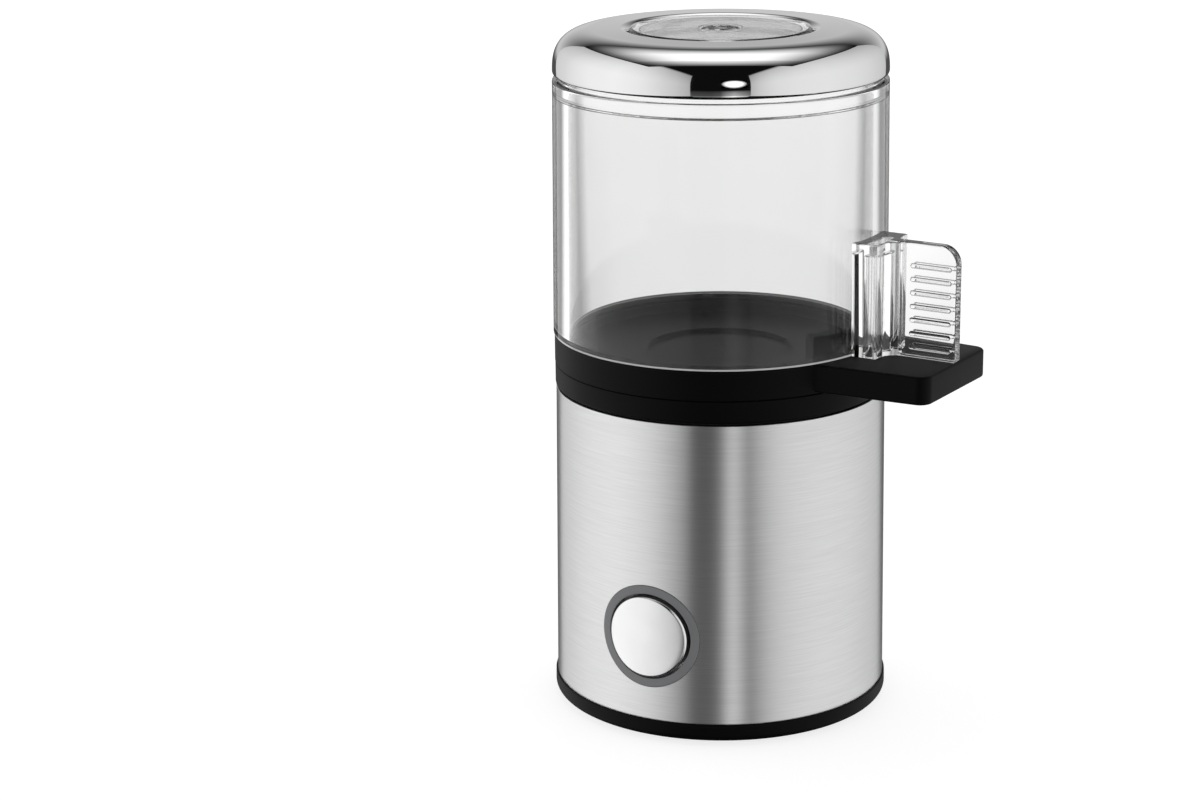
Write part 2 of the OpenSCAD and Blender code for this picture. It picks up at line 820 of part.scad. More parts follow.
module bright_ring() {
    outer = concat([[ring_skirt_r - 0.85, ring_z]],
        arc([ring_skirt_r - 0.8, ring_z + 0.8], 0.8, -60, -10, 5), shoulder(0));
    inner = shoulder(ring_wall);
    lip_c = [ring_open_r + ring_lip_r, ring_top_z - ring_lip_r];
    color("#d9dadb")
    rotate_extrude($fn = 180)
        polygon(concat(outer, arc(lip_c, ring_lip_r, 90, 180, 6),
            [[ring_open_r, ring_top_z - 3.2], [ring_open_r + ring_wall, ring_top_z - 3.2]],
            arc(lip_c, ring_lip_r - ring_wall, 180, 90, 3),
            [for (i = [len(inner) - 1 : -1 : 0]) inner[i]],
            [[ring_skirt_r - ring_wall, ring_z + 0.2]]));
}

base_pan();
feet();
base_screws();
steel_sleeve();
inner_housing();
heating_dish();
dish_seal();
dish_screws();
heater_element();
thermostat();
thermostat_bracket();
bracket_screws();
thermal_fuse();
fuse_clip();
heat_shield();
light_ring();
button_guide();
button_spring();
circuit_board();
board_screws();
tact_switch();
status_leds();
relay();
buzzer();
capacitors();
control_chip();
board_plugs();
terminal_block();
terminal_screws();
supply_wires();
heater_wires();
cord_gland();
cord_clamp();
clamp_screws();
button_cap();
switch_plunger();
carrier_ring();
hood_tube();
hood_cap();
bright_ring();
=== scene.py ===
import json
import math

import bmesh
import bpy
from mathutils import Matrix, Vector


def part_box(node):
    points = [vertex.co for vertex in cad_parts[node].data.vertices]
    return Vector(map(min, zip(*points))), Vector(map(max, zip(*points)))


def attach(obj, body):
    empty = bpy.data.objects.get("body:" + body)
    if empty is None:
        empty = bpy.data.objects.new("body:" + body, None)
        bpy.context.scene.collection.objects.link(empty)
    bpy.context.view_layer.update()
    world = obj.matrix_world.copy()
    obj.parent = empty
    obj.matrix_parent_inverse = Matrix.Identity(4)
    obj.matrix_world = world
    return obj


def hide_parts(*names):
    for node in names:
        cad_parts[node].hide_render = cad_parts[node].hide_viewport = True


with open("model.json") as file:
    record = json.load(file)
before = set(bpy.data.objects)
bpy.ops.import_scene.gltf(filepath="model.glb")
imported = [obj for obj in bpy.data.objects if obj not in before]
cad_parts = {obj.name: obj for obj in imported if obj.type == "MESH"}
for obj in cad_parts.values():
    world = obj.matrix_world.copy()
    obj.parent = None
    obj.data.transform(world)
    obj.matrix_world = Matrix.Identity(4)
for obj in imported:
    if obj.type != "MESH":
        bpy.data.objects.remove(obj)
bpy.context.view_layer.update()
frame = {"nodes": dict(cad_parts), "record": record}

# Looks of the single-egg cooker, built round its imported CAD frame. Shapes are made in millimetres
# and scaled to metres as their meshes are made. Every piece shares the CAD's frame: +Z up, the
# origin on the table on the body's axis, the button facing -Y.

# Meshes: a millimetre in metres, the angle in degrees that counts as an edge, the millimetres
# within which points of a CAD mesh are one, and the sides of round shapes
MM = 0.001
SHARP_ANGLE = 32
WELD_DISTANCE = 0.002
BODY_SEGMENTS = 288
CARRIER_SEGMENTS = 240
BUTTON_SEGMENTS = 160
GLAND_SEGMENTS = 96

# Shape details in millimetres that the CAD boxes don't give
SLEEVE_WALL = 0.6
SLEEVE_TAPER = 0.5
SLEEVE_EDGE = 0.12
BUTTON_HOLE_R = 10.35
GLAND_HOLE_R = 5.25
BUTTON_Z = 21.3
GRIP_TURN = -5.0

# Camera, in degrees and millimetres
CAMERA_AZIMUTH = 25.0
CAMERA_REACH = 540.4
CAMERA_HEIGHT = 213.1
CAMERA_PITCH = 15.783
CAMERA_YAW = -2.534
CAMERA_ROLL = -0.6216
CAMERA_LENS = 84.61
CAMERA_SENSOR = 36

# Studio: distances in metres and strengths against a white of 1. The floor glows by its near
# strength at the object and by its far one from 0.7 m on. To rays that don't come from the camera
# that is multiplied by its plain share, or by FLOOR_LEVELS behind the object.
STUDIO_SIDE = 1.2
STUDIO_TOP = 1.5
ROOM_GLOW = 0.006
FLOOR_HALF = 6.0
FLOOR_NEAR = 0.8
FLOOR_FAR = 0.88
FLOOR_PLAIN = 0.9
LIGHT_BOUNCES = 24

# Fades, as (place, share) stops. The floor's runs from left to right behind the object.
EVEN = [(0.0, 1.0), (1.0, 1.0)]
FLOOR_LEVELS = [(0.0, 1.5), (0.17, 1.5), (0.22, 0.1), (0.33, 0.1), (0.37, 0.75), (0.42, 0.9),
                (0.58, 0.9), (0.63, 0.75), (0.67, 0.1), (0.78, 0.1), (0.83, 1.1), (1.0, 1.1)]
LEFT_LEVELS = [(0.0, 0.5), (0.16, 0.62), (0.32, 0.78), (0.45, 0.98), (0.56, 1.1), (0.65, 1.05),
               (0.8, 0.82), (1.0, 0.7)]
RIGHT_LEVELS = [(0.0, 0.55), (0.16, 0.72), (0.32, 0.86), (0.45, 0.93), (0.56, 0.97), (0.65, 0.92),
                (0.8, 0.75), (1.0, 0.6)]
SIDE_RISE = [(0.0, 1.0), (0.5, 1.0), (0.64, 0.9), (0.81, 0.75), (0.92, 0.65), (1.0, 0.1)]
TOP_DEPTH = [(0.0, 0.03), (0.05, 0.19), (0.1, 0.38), (0.14, 0.52), (0.18, 0.65), (0.22, 1.0),
             (0.48, 1.0), (0.56, 0.78), (0.63, 0.63), (0.72, 0.43), (0.84, 0.19), (1.0, 0.03)]
TOP_WIDTH = [(0.0, 0.0), (0.1, 0.15), (0.18, 0.36), (0.33, 0.85), (0.45, 1.0), (0.55, 1.0),
             (0.67, 0.85), (0.82, 0.36), (0.9, 0.15), (1.0, 0.0)]
BACK_RISE = [(0.0, 0.08), (0.42, 0.08), (0.46, 0.3), (0.51, 0.6), (0.57, 0.62), (0.65, 0.5),
             (0.74, 0.36), (0.85, 0.2), (0.96, 0.07), (1.0, 0.05)]
LOW_WIDTH = [(0.0, 0.17), (0.35, 0.17), (0.5, 0.25), (0.6, 0.8), (0.72, 1.25), (0.85, 0.8),
             (1.0, 0.4)]
LOW_RISE = [(0.0, 1.0), (0.74, 1.0), (0.8, 0.7), (0.89, 0.4), (0.94, 0.3), (1.0, 0.1)]
LAMP_FADE = [(0.0, 1.0), (0.6, 1.0), (1.0, 0.0)]


# ---- outlines ----

def low_high(node):
    """Lowest and highest corner of a CAD node, in millimetres."""
    low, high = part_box(node)
    return low / MM, high / MM


def rounded(corners, steps):
    """Closed outline through (a, b, radius) corners, each rounded by its radius."""
    outline = []
    for i, (a, b, radius) in enumerate(corners):
        here = Vector((a, b))
        if radius == 0:
            outline.append(here)
            continue
        before = (Vector(corners[i - 1][:2]) - here).normalized()
        after = (Vector(corners[(i + 1) % len(corners)][:2]) - here).normalized()
        half = before.angle(after) / 2
        centre = here + (before + after).normalized() * (radius / math.sin(half))
        start = here + before * (radius / math.tan(half)) - centre
        end = here + after * (radius / math.tan(half)) - centre
        sweep = start.angle_signed(end)
        for k in range(steps + 1):
            turn = -sweep * k / steps
            cos, sin = math.cos(turn), math.sin(turn)
            outline.append(centre + Vector((start.x * cos - start.y * sin,
                                            start.x * sin + start.y * cos)))
    return outline


def arc(centre, radius, start, end, steps):
    """Points on an arc, with its angles in degrees."""
    angles = [math.radians(start + (end - start) * k / steps) for k in range(steps + 1)]
    return [Vector((centre[0] + radius * math.cos(t), centre[1] + radius * math.sin(t)))
            for t in angles]


def inset(outline, distance):
    """The outline moved inwards by a distance along its mitred normals."""
    area = sum(p.x * q.y - q.x * p.y for p, q in zip(outline, outline[1:] + outline[:1]))
    side = 1 if area > 0 else -1
    moved = []
    for i, here in enumerate(outline):
        before = (here - outline[i - 1]).normalized()
        after = (outline[(i + 1) % len(outline)] - here).normalized()
        normal = Vector((-before.y - after.y, before.x + after.x)).normalized() * side
        across = Vector((-before.y, before.x)) * side
        moved.append(here + normal * (distance / max(normal.dot(across), 0.4)))
    return moved


# ---- meshes ----

def finished(name, mesh_data):
    """An object from a bmesh in millimetres, smooth except across sharp edges."""
    bmesh.ops.remove_doubles(mesh_data, verts=mesh_data.verts, dist=1e-4)
    bmesh.ops.recalc_face_normals(mesh_data, faces=mesh_data.faces)
    bmesh.ops.scale(mesh_data, vec=(MM, MM, MM), verts=mesh_data.verts)
    mesh = bpy.data.meshes.new(name)
    mesh_data.to_mesh(mesh)
    mesh_data.free()
    piece = bpy.data.objects.new(name, mesh)
    bpy.context.scene.collection.objects.link(piece)
    shade(mesh)
    return piece


def shade(mesh):
    """Smooth shading, except across sharp edges."""
    mesh.shade_smooth()
    mesh.set_sharp_from_angle(angle=math.radians(SHARP_ANGLE))


def bridge(mesh_data, ring, after):
    """Faces between two closed rings of vertices, or a ring and a single vertex."""
    count = max(len(ring), len(after))
    for k in range(count):
        k2 = (k + 1) % count
        corners = [ring[k % len(ring)], ring[k2 % len(ring)],
                   after[k2 % len(after)], after[k % len(after)]]
        corners = list(dict.fromkeys(corners))
        if len(corners) > 2:
            mesh_data.faces.new(corners)


def turned(radius, segments):
    """Points on a circle about the origin, as (a, b) pairs."""
    return [(radius * math.cos(math.tau * k / segments), radius * math.sin(math.tau * k / segments))
            for k in range(segments)]


def lathe(name, outline, segments=BODY_SEGMENTS):
    """A closed (radius, height) outline turned about Z."""
    mesh_data = bmesh.new()
    rings = [[mesh_data.verts.new((a, b, height)) for a, b in turned(radius, segments)]
             for radius, height in outline]
    for ring, after in zip(rings, rings[1:] + rings[:1]):
        bridge(mesh_data, ring, after)
    return finished(name, mesh_data)


def slab(name, outline, low, high, edge, steps, upright=False):
    """A prism of a plan outline with rounded edges. Upright, it stands along Y on an XZ outline."""
    mesh_data = bmesh.new()
    turns = [math.pi / 2 * k / steps for k in range(steps + 1)]
    levels = [(edge * (1 - math.sin(t)), low + edge * (1 - math.cos(t))) for t in turns]
    levels += [(edge * (1 - math.sin(t)), high - edge * (1 - math.cos(t))) for t in turns[::-1]]
    rings = []
    for distance, level in levels:
        points = inset(outline, distance) if distance > 1e-6 else outline
        rings.append([mesh_data.verts.new((p.x, level, p.y) if upright else (p.x, p.y, level))
                      for p in points])
    for ring, after in zip(rings, rings[1:]):
        bridge(mesh_data, ring, after)
    mesh_data.faces.new(rings[0])
    mesh_data.faces.new(rings[-1])
    return finished(name, mesh_data)


def rod(ends):
    """A cutting cylinder between two rings of points."""
    mesh_data = bmesh.new()
    rings = [[mesh_data.verts.new(point) for point in end] for end in ends]
    bridge(mesh_data, *rings)
    mesh_data.faces.new(rings[0])
    mesh_data.faces.new(rings[1])
    return finished("cut", mesh_data)


def upright_rod(radius, start, end, segments):
    """A cutting cylinder along Z."""
    return rod([[(a, b, level) for a, b in turned(radius, segments)] for level in (start, end)])


def level_rod(radius, start, end, height, segments):
    """A cutting cylinder along Y, at a height."""
    return rod([[(a, level, height + b) for a, b in turned(radius, segments)]
                for level in (start, end)])


def curved_disc(name, profile):
    """A disc about the button's axis. Each (radius, depth, bulge) of its closed profile lies that
    depth behind a cylinder of radius bulge about the body's axis, or behind the plane y = 0
    where bulge is 0."""
    mesh_data = bmesh.new()
    rings = []
    for radius, depth, bulge in profile:
        points = turned(radius, BUTTON_SEGMENTS if radius > 0 else 1)
        rings.append([mesh_data.verts.new(
            (x, depth - math.sqrt(max(bulge ** 2 - x ** 2, 0)), BUTTON_Z + z)) for x, z in points])
    for ring, after in zip(rings, rings[1:] + rings[:1]):
        bridge(mesh_data, ring, after)
    return finished(name, mesh_data)


def combine(piece, tool, operation):
    """Boolean of a piece with a tool, which is used up."""
    modifier = piece.modifiers.new("combine", "BOOLEAN")
    modifier.operation = operation
    modifier.object = tool
    modifier.solver = "MANIFOLD"
    graph = bpy.context.evaluated_depsgraph_get()
    result = bpy.data.meshes.new_from_object(piece.evaluated_get(graph))
    piece.modifiers.clear()
    piece.data = result
    result.name = piece.name
    bpy.data.objects.remove(tool)
    shade(result)


def true_round(piece, walls, tolerance=0.03):
    """Exact normals on turned walls that a boolean has cut. Each wall is (radius at z 0 in mm,
    slope of the radius per mm, side), with side 1 facing outwards and -1 inwards."""
    mesh = piece.data
    normals = [Vector(n.vector) for n in mesh.corner_normals]
    for polygon in mesh.polygons:
        points = [mesh.vertices[v].co / MM for v in polygon.vertices]
        for radius, slope, side in walls:
            if all(abs(math.hypot(p.x, p.y) - radius - slope * p.z) < tolerance for p in points):
                for loop, p in zip(polygon.loop_indices, points):
                    across = math.hypot(p.x, p.y)
                    normals[loop] = Vector((p.x / across, p.y / across, -slope)).normalized() * side
    mesh.normals_split_custom_set(normals)


# ---- materials ----

class Shader:
    """A material's node tree, with short calls to add and link nodes."""

    def __init__(self, name):
        self.material = bpy.data.materials.new(name)
        self.material.use_nodes = True
        self.tree = self.material.node_tree
        self.tree.nodes.clear()
        self.output = self.add("ShaderNodeOutputMaterial")
        self.place = self.add("ShaderNodeTexCoord").outputs["Object"]

    def add(self, kind, inputs=None, **settings):
        """A node with its settings, and with inputs that are values or links."""
        node = self.tree.nodes.new(kind)
        for key, value in settings.items():
            setattr(node, key, value)
        for key, value in (inputs or {}).items():
            if isinstance(value, bpy.types.NodeSocket):
                self.tree.links.new(value, node.inputs[key])
            else:
                node.inputs[key].default_value = value
        return node

    def noise(self, scale, detail=3.0, stretch=None, roughness=0.5):
        """Noise over the piece, with scale in features per metre and an optional stretch."""
        place = self.place
        if stretch:
            place = self.add("ShaderNodeVectorMath", {0: place, 1: stretch},
                             operation="MULTIPLY").outputs[0]
        return self.add("ShaderNodeTexNoise", {"Vector": place, "Scale": scale, "Detail": detail,
                                               "Roughness": roughness}).outputs["Fac"]

    def ranged(self, value, low, high, start=0.0, end=1.0):
        """A value between start and end, spread over low to high."""
        return self.add("ShaderNodeMapRange", {"Value": value, "From Min": start, "From Max": end,
                                               "To Min": low, "To Max": high}).outputs[0]

    def tones(self, value, dark, light, start=0.3, end=0.7):
        """A colour between two tones, by a value."""
        share = self.ranged(value, 0.0, 1.0, start, end)
        mix = self.add("ShaderNodeMix", {"Factor": share}, data_type="RGBA")
        mix.inputs[6].default_value = (*dark, 1)
        mix.inputs[7].default_value = (*light, 1)
        return mix.outputs[2]

    def bump(self, height, distance, strength=1.0):
        """Bump normals of a height, with its distance in millimetres."""
        return self.add("ShaderNodeBump", {"Height": height, "Distance": distance * MM,
                                           "Strength": strength}).outputs["Normal"]

    def surface(self, **inputs):
        """The material's principled surface, with inputs named as its sockets are."""
        named = {key.replace("_", " "): value for key, value in inputs.items()}
        self.show(self.add("ShaderNodeBsdfPrincipled", named).outputs[0])

    def show(self, shader):
        """Let a shader be the material's surface."""
        self.tree.links.new(shader, self.output.inputs["Surface"])


def shift(colour, share):
    """A colour made lighter or darker by a share of itself."""
    return tuple(min(1.0, c * (1 + share)) for c in colour)


def moulded(name, colour, roughness, grain, depth, vary=0.12, gloss=0.5, sheen=0.0):
    """Moulded plastic: fine spark-eroded grain, and slightly uneven tone and gloss."""
    s = Shader(name)
    broad = s.noise(90, 2)
    fine = s.noise(1 / (grain * MM), 2)
    s.surface(Base_Color=s.tones(broad, shift(colour, -vary), shift(colour, vary)),
              Roughness=s.ranged(broad, roughness - 0.04, roughness + 0.04),
              Specular_IOR_Level=gloss, Sheen_Weight=sheen, Sheen_Roughness=0.35,
              Normal=s.bump(fine, depth))
    return s.material


def metal(name, colour, roughness, grain=0.15, depth=0.001, stretch=None):
    """Plain metal with a fine, optionally drawn, surface."""
    s = Shader(name)
    fine = s.noise(1 / (grain * MM), 3, stretch)
    broad = s.noise(120, 2)
    s.surface(Base_Color=s.tones(broad, shift(colour, -0.06), shift(colour, 0.06)),
              Metallic=1.0, Roughness=s.ranged(fine, roughness - 0.05, roughness + 0.08),
              Normal=s.bump(fine, depth))
    return s.material


def brushed_steel(name):
    """Steel brushed round the body: long fine streaks that blur reflections up and down."""
    s = Shader(name)
    hair = s.noise(1.0, 4, (130, 130, 6000), 0.65)
    streak = s.noise(1.0, 2, (90, 90, 3600))
    cloud = s.noise(45, 2, (1, 1, 0.4))
    lines = s.add("ShaderNodeMath", {0: hair, 1: streak}, operation="ADD").outputs[0]
    tangent = s.add("ShaderNodeTangent", direction_type="RADIAL", axis="Z").outputs[0]
    s.surface(Base_Color=s.tones(lines, (0.67, 0.67, 0.674), (0.735, 0.735, 0.74), 0.75, 1.25),
              Metallic=1.0, Roughness=s.ranged(cloud, 0.27, 0.32),
              Anisotropic=0.8, Anisotropic_Rotation=0.25, Tangent=tangent,
              Normal=s.bump(hair, 0.0005, 0.6))
    return s.material


def chrome(name):
    """Mirror-bright plated plastic with the faintest unevenness."""
    s = Shader(name)
    broad = s.noise(60, 2)
    s.surface(Base_Color=s.tones(broad, (0.78, 0.78, 0.785), (0.82, 0.82, 0.825)),
              Metallic=1.0, Roughness=s.ranged(broad, 0.02, 0.045))
    return s.material


def satin_cap(name):
    """The button's satin metal face, finely brushed across."""
    s = Shader(name)
    fine = s.noise(1.0, 3, (400, 400, 9000))
    tangent = s.add("ShaderNodeTangent", direction_type="RADIAL", axis="Z").outputs[0]
    s.surface(Base_Color=s.tones(s.noise(200, 2), (0.84, 0.84, 0.845), (0.88, 0.88, 0.885)),
              Metallic=1.0, Roughness=s.ranged(fine, 0.16, 0.2),
              Anisotropic=0.8, Anisotropic_Rotation=0.25, Tangent=tangent,
              Normal=s.bump(fine, 0.0003))
    return s.material


def clear_plastic(name, density, mirror):
    """Clear moulded plastic, greyer where it is thicker, that lets lamplight through. Mirror is
    its head-on reflection as a share of what bare plastic has."""
    s = Shader(name)
    ripple = s.noise(70, 1)
    plastic = s.add("ShaderNodeBsdfPrincipled", {
        "Base Color": s.tones(ripple, (0.987, 0.987, 0.987), (0.997, 0.997, 0.997)),
        "Roughness": s.ranged(ripple, 0.0, 0.005), "IOR": 1.49, "Transmission Weight": 1.0,
        "Specular Tint": (mirror, mirror, mirror, 1),
        "Normal": s.bump(ripple, 0.01, 0.04)})
    through = s.add("ShaderNodeBsdfTransparent", {"Color": (0.94, 0.94, 0.94, 1)})
    shadow = s.add("ShaderNodeLightPath").outputs["Is Shadow Ray"]
    mix = s.add("ShaderNodeMixShader", {0: shadow, 1: plastic.outputs[0], 2: through.outputs[0]})
    s.show(mix.outputs[0])
    depth = s.add("ShaderNodeVolumeAbsorption", {"Color": (0.4, 0.4, 0.4, 1), "Density": density})
    s.tree.links.new(depth.outputs[0], s.output.inputs["Volume"])
    return s.material


def dish_coating(name):
    """Dark non-stick coating, semi-gloss with a fine orange-peel."""
    s = Shader(name)
    peel = s.noise(1400, 2)
    broad = s.noise(60, 2)
    s.surface(Base_Color=s.tones(broad, (0.0036, 0.0036, 0.0036), (0.005, 0.005, 0.005)),
              Roughness=s.ranged(broad, 0.2, 0.27), Specular_IOR_Level=0.018,
              Normal=s.bump(peel, 0.002, 0.5))
    return s.material


def circuit(name):
    """Solder mask over copper: darker board, lighter runs."""
    s = Shader(name)
    cells = s.add("ShaderNodeTexBrick", {"Vector": s.place, "Scale": 160.0,
                                         "Color1": (0.012, 0.10, 0.05, 1),
                                         "Color2": (0.018, 0.14, 0.07, 1),
                                         "Mortar": (0.03, 0.2, 0.11, 1)})
    s.surface(Base_Color=cells.outputs["Color"], Roughness=s.ranged(s.noise(300), 0.25, 0.4))
    return s.material


# Each look's maker and what it is given: for moulded plastic and metal, a linear colour, a
# roughness, and the size and depth of the grain in mm. clear_detail is the clear plastic of the
# grip and the cap.
LOOKS = {
    "black_plastic": (moulded, (0.0005, 0.0005, 0.0005), 0.48, 0.22, 0.006, 0.12, 0.08, 0.042),
    "foot_rubber": (moulded, (0.05, 0.05, 0.052), 0.75, 0.4, 0.01),
    "screw_steel": (metal, (0.6, 0.6, 0.61), 0.3),
    "sleeve_steel": (brushed_steel,),
    "dish_coating": (dish_coating,),
    "seal_silicone": (moulded, (0.36, 0.09, 0.06), 0.6, 0.5, 0.004),
    "element_sheath": (metal, (0.3, 0.27, 0.24), 0.45),
    "phenolic": (moulded, (0.05, 0.045, 0.04), 0.5, 0.4, 0.006),
    "bracket_steel": (metal, (0.5, 0.5, 0.51), 0.35, 0.2, 0.001, (1, 12, 1)),
    "fuse_ceramic": (moulded, (0.75, 0.73, 0.66), 0.3, 0.6, 0.004, 0.05),
    "shield_aluminium": (metal, (0.7, 0.7, 0.71), 0.35, 0.2, 0.001, (12, 1, 1)),
    "light_grey": (moulded, (0.155, 0.158, 0.162), 0.36, 0.5, 0.002, 0.05),
    "guide_plastic": (moulded, (0.78, 0.78, 0.75), 0.45, 0.4, 0.004, 0.04),
    "spring_steel": (metal, (0.55, 0.55, 0.56), 0.25),
    "board_green": (circuit,),
    "led_lens": (moulded, (0.85, 0.85, 0.8), 0.25, 0.6, 0.002, 0.03),
    "component_black": (moulded, (0.03, 0.03, 0.032), 0.5, 0.2, 0.004),
    "relay_blue": (moulded, (0.03, 0.1, 0.32), 0.35, 0.4, 0.004),
    "capacitor_grey": (moulded, (0.06, 0.08, 0.11), 0.35, 0.5, 0.002),
    "plug_ivory": (moulded, (0.78, 0.76, 0.68), 0.45, 0.4, 0.004, 0.05),
    "terminal_brass": (metal, (0.7, 0.55, 0.25), 0.25),
    "wire_brown": (moulded, (0.16, 0.09, 0.05), 0.45, 0.5, 0.003),
    "wire_glass": (moulded, (0.62, 0.58, 0.48), 0.7, 0.35, 0.03, 0.15),
    "button_steel": (satin_cap,),
    "clear_plastic": (clear_plastic, 55.0, 0.45),
    "clear_detail": (clear_plastic, 12.0, 1.0),
    "bright_chrome": (chrome,),
}
materials = {name: make(name, *given) for name, (make, *given) in LOOKS.items()}


def dress(piece, slot, look=None):
    """Give a new piece the material named by its slot, or by its look where one is given."""
    piece.data.materials.clear()
    piece.data.materials.append(materials[look or slot])


def even_out(piece):
    """Smooth normals weighted by area, so that flat faces stay flat beside small roundings."""
    weigh = piece.modifiers.new("even_out", "WEIGHTED_NORMAL")
    weigh.mode = "FACE_AREA"
    weigh.weight = 100
    weigh.keep_sharp = True


def install(piece, body, slot, *nodes, look=None):
    """A finished piece that rides on a body and stands for CAD nodes."""
    if not piece.data.has_custom_normals:
        even_out(piece)
    dress(piece, slot, look)
    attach(piece, body)
    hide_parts(*nodes)


# ---- base ----

def make_sleeve():
    """The thin, slightly tapered steel skin, with holes for the button and the cord's gland."""
    low, high = low_high("steel_sleeve")
    foot_r = high.x
    top_r = foot_r - SLEEVE_TAPER
    outline = rounded([(foot_r - SLEEVE_WALL, low.z, SLEEVE_EDGE), (foot_r, low.z, SLEEVE_EDGE),
                       (top_r, high.z, SLEEVE_EDGE), (top_r - SLEEVE_WALL, high.z, SLEEVE_EDGE)],
                      3)
    piece = lathe("steel_sleeve_skin", outline)
    cut_length = 50
    combine(piece, level_rod(BUTTON_HOLE_R, -cut_length, 0, BUTTON_Z, BUTTON_SEGMENTS), "DIFFERENCE")
    gland_low, gland_high = low_high("cord_gland")
    gland_z = (gland_low.z + gland_high.z) / 2
    combine(piece, level_rod(GLAND_HOLE_R, 0, cut_length, gland_z, GLAND_SEGMENTS), "DIFFERENCE")
    slope = (top_r - foot_r) / (high.z - low.z)
    start = foot_r - slope * low.z
    true_round(piece, [(start, slope, 1), (start - SLEEVE_WALL, slope, -1)])
    install(piece, "base", "sleeve_steel", "steel_sleeve")


def make_light_ring():
    """The ring round the button, curved like the sleeve, with a flange behind it."""
    low, high = low_high("light_ring")
    outer_r = BUTTON_HOLE_R - 0.05
    inner_r = 8.6
    flange_r = high.x
    flange_t = 1.2
    bulge = -low.y
    back = high.y - 1.0
    edge = 0.12
    soft = edge * 0.3
    steps = 6
    front = [(outer_r - edge - (outer_r - inner_r - 2 * edge) * k / steps, 0.0, bulge)
             for k in range(steps + 1)]
    profile = [(outer_r, edge, bulge), (outer_r - soft, soft, bulge)] + front
    profile += [(inner_r + soft, soft, bulge), (inner_r, edge, bulge), (inner_r, back, 0),
                (flange_r, back, 0), (flange_r, back - flange_t, 0), (outer_r, back - flange_t, 0)]
    piece = curved_disc("light_ring_body", profile)
    install(piece, "base", "light_grey", "light_ring")


def make_button():
    """The button's hollow cap: a curved face with a rounded rim, a lip behind it, and a stem."""
    low, high = low_high("button_cap")
    cap_r = 8.1
    rim = 0.42
    bulge = -low.y
    side_depth = 2.0
    lip_r = 9.6
    lip_t = 0.8
    lip_back = low.y + 7.1
    inner_r = 6.9
    inner_y = low.y + 2.2
    stem_r = 2.4
    steps = 8
    face = [((cap_r - rim) * k / steps, 0.0, bulge) for k in range(steps + 1)]
    rim_arc = [(cap_r - rim + rim * math.sin(math.radians(t)),
                rim * (1 - math.cos(math.radians(t))), bulge) for t in range(12, 91, 13)]
    side = [(cap_r, side_depth, bulge), (cap_r, lip_back - lip_t, 0), (lip_r, lip_back - lip_t, 0),
            (lip_r, lip_back, 0), (inner_r, lip_back, 0), (inner_r, inner_y, 0),
            (stem_r, inner_y, 0), (stem_r, high.y, 0), (0, high.y, 0)]
    piece = curved_disc("button_cap_body", face + rim_arc + side)
    install(piece, "button", "button_steel", "button_cap")


# ---- carrier ----

def tab_outline():
    """Plan of the tab, which narrows a little towards its end and has rounded corners there."""
    root, root_half = 26.0, 15.1
    reach, end_half = 51.6, 13.4
    corner = 2.6
    right = arc((reach - corner, end_half - corner), corner, 0, 90, 10)
    left = [Vector((p.x, -p.y)) for p in right[::-1]]
    return [Vector((root, -root_half))] + left + right + [Vector((root, root_half))]


def make_carrier():
    """The black ring under the hood, with its side tab."""
    low, high = low_high("carrier_ring")
    outer_r, inner_r, edge = 32.7, 30.75, 0.2
    tab_t = 5.5
    tab_edge = 0.5
    tab_sink = 0.01
    tab_start = 0.6
    outline = rounded([(inner_r, low.z, edge), (outer_r, low.z, edge), (outer_r, high.z, edge),
                       (inner_r, high.z, edge)], 3)
    piece = lathe("carrier_ring_body", outline, CARRIER_SEGMENTS)
    tab = slab("tab", tab_outline(), high.z - tab_t, high.z - tab_sink, tab_edge, 5)
    tab.data.transform(Matrix.Rotation(math.radians(GRIP_TURN), 4, "Z"))
    bore = upright_rod(inner_r + tab_start, low.z, high.z + 1, CARRIER_SEGMENTS)
    combine(tab, bore, "DIFFERENCE")
    combine(piece, tab, "UNION")
    true_round(piece, [(outer_r, 0, 1), (inner_r, 0, -1)])
    install(piece, "carrier", "black_plastic", "carrier_ring")


# ---- hood ----

def grip_outline(block_w, block_in, block_out, wing_t, blend):
    """Plan of the hollow block, drawn in to the wing by two concave blends."""
    half = wing_t / 2
    outer = block_out + blend
    right = arc((outer, half + blend), blend, 180, 270, 6)
    points = [Vector((block_in, -block_w / 2)), Vector((block_out, -block_w / 2))]
    points += [Vector((p.x, -p.y)) for p in right]
    points += right[::-1]
    points += [Vector((block_out, block_w / 2)), Vector((block_in, block_w / 2))]
    return points


def finger_bars(wing_t, foot_z):
    """Domed ridges that stand out of both sides of the wing."""
    count, first, pitch = 7, 2.1, 2.62
    start, end, radius, rise = 42.4, 50.0, 0.5, 0.3
    run = 0.9 * radius
    dome = [(run * (1 - math.cos(math.radians(t))), wing_t / 2 + rise * math.sin(math.radians(t)))
            for t in range(0, 91, 15)]
    levels = [(distance, -y) for distance, y in dome[::-1]] + dome
    mesh_data = bmesh.new()
    for i in range(count):
        z = foot_z + first + i * pitch
        outline = arc((end, z), radius, -90, 90, 8) + arc((start, z), radius, 90, 270, 8)
        rings = [[mesh_data.verts.new((p.x, level, p.y))
                  for p in (inset(outline, distance) if distance else outline)]
                 for distance, level in levels]
        for ring, after in zip(rings, rings[1:]):
            bridge(mesh_data, ring, after)
        mesh_data.faces.new(rings[0])
        mesh_data.faces.new(rings[-1])
    return finished("bars", mesh_data)


